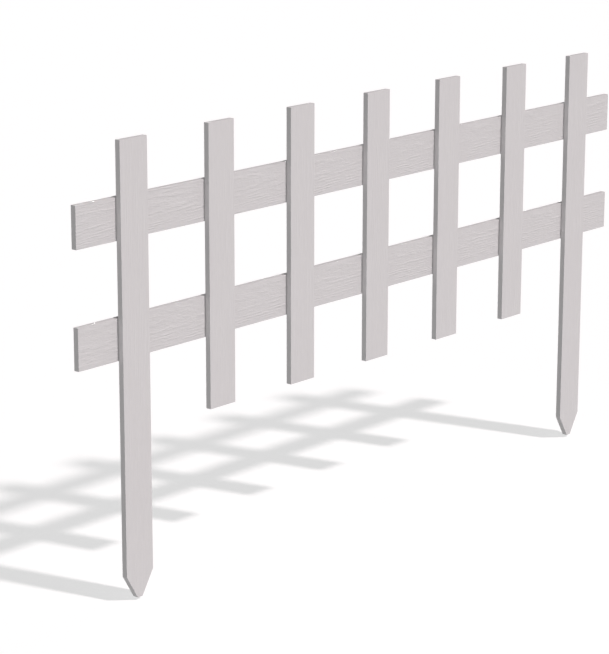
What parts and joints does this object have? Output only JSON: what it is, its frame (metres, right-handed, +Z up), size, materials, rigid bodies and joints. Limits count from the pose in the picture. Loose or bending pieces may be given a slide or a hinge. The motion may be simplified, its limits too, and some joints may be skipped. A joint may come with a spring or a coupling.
{
  "type": "garden edging fence panel",
  "caption": "Low wooden picket edging panel: flat uprights on plain rails, with a pointed stake at each end to push into the ground.",
  "frame": {"origin": "middle of the flat tip of the left stake", "axes": "+X along the rails from the left stake to the right one, +Y from the uprights towards the rails, +Z up"},
  "size_m": [0.9144, 0.0127, 0.4785],
  "materials": {
    "upright_wood": "white painted, matt",
    "rail_wood": "white painted, matt"
  },
  "bodies": {
    "root": {"left_stake_post": "upright_wood", "picket_1": "upright_wood", "picket_2": "upright_wood", "picket_3": "upright_wood", "picket_4": "upright_wood", "picket_5": "upright_wood", "right_stake_post": "upright_wood", "upper_rail": "rail_wood", "lower_rail": "rail_wood"}
  },
  "joints": []
}
